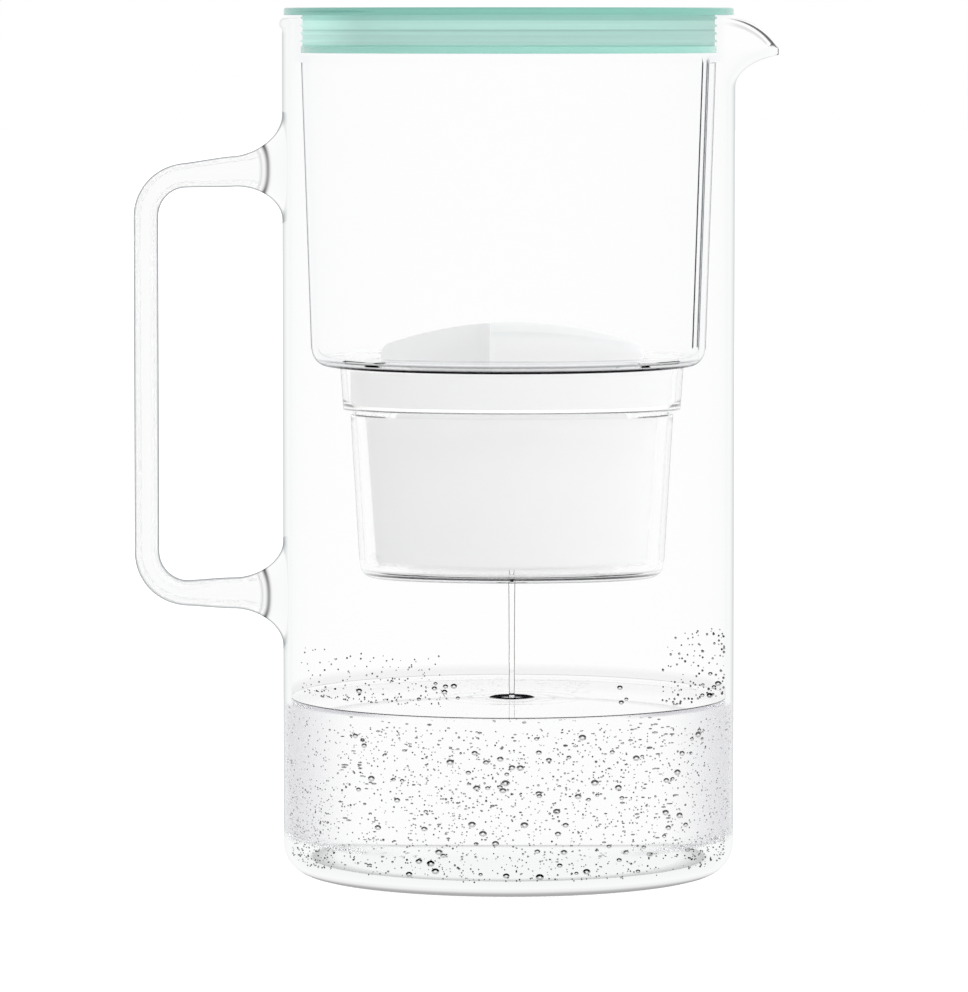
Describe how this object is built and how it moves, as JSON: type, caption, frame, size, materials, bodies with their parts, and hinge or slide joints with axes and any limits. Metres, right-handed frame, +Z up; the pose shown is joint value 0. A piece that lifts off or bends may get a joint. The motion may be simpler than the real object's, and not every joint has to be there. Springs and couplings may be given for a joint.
{
  "type": "water filter pitcher with flip lid",
  "caption": "Tall round glass jug with loop handle and drawn spout, holding a hanging clear hopper, an oval filter cartridge, and a flat tinted lid with a flip flap.",
  "frame": {"origin": "centre of the jug's flat underside, on the jug's axis", "axes": "+Z up along the jug's axis, +X towards the pouring spout, -X towards the handle, +Y across"},
  "size_m": [0.1948, 0.1376, 0.2608],
  "materials": {
    "borosilicate_glass": "clear blown glass",
    "clear_san": "clear moulded plastic",
    "white_pp": "fine satin moulding",
    "white_tpe": "soft matte",
    "nylon_mesh": "fine mesh",
    "carbon_granules": "loose black granules",
    "resin_beads": "loose amber beads",
    "mint_plastic": "tinted see-through moulding",
    "mint_silicone": "soft see-through silicone",
    "stainless_steel": "drawn wire",
    "white_dial": "satin with plain numbers"
  },
  "bodies": {
    "jug": {"jug_glass": "borosilicate_glass", "jug_handle": "borosilicate_glass"},
    "hopper": {"hopper": "clear_san"},
    "cartridge": {"cartridge_housing": "white_pp", "cartridge_cap": "white_pp", "cartridge_seal": "white_tpe", "inlet_screen": "nylon_mesh", "carbon_bed": "carbon_granules", "bed_divider": "nylon_mesh", "resin_bed": "resin_beads", "outlet_screen": "nylon_mesh"},
    "lid": {"lid_cover": "mint_plastic", "lid_gasket": "mint_silicone", "flap_hinge_pins": "stainless_steel"},
    "flap": {"flap": "mint_plastic", "flap_seal": "mint_silicone"},
    "dial": {"change_dial": "white_dial", "dial_clip": "white_pp"}
  },
  "joints": [
    {"name": "hopper_lift", "type": "slide", "parent": "jug", "child": "hopper", "axis": [0, 0, 1], "range_m": [0, 0.185]},
    {"name": "cartridge_lift", "type": "slide", "parent": "hopper", "child": "cartridge", "axis": [0, 0, 1], "range_m": [0, 0.078]},
    {"name": "lid_lift", "type": "slide", "parent": "hopper", "child": "lid", "axis": [0, 0, 1], "range_m": [0, 0.06]},
    {"name": "flap_hinge", "type": "hinge", "parent": "lid", "child": "flap", "pos_m": [0.008, 0, 0.2588], "axis": [0, 1, 0], "range_deg": [0, 100]},
    {"name": "dial_turn", "type": "hinge", "parent": "lid", "child": "dial", "pos_m": [0.036, 0, 0.2608], "axis": [0, 0, 1], "continuous": true}
  ]
}
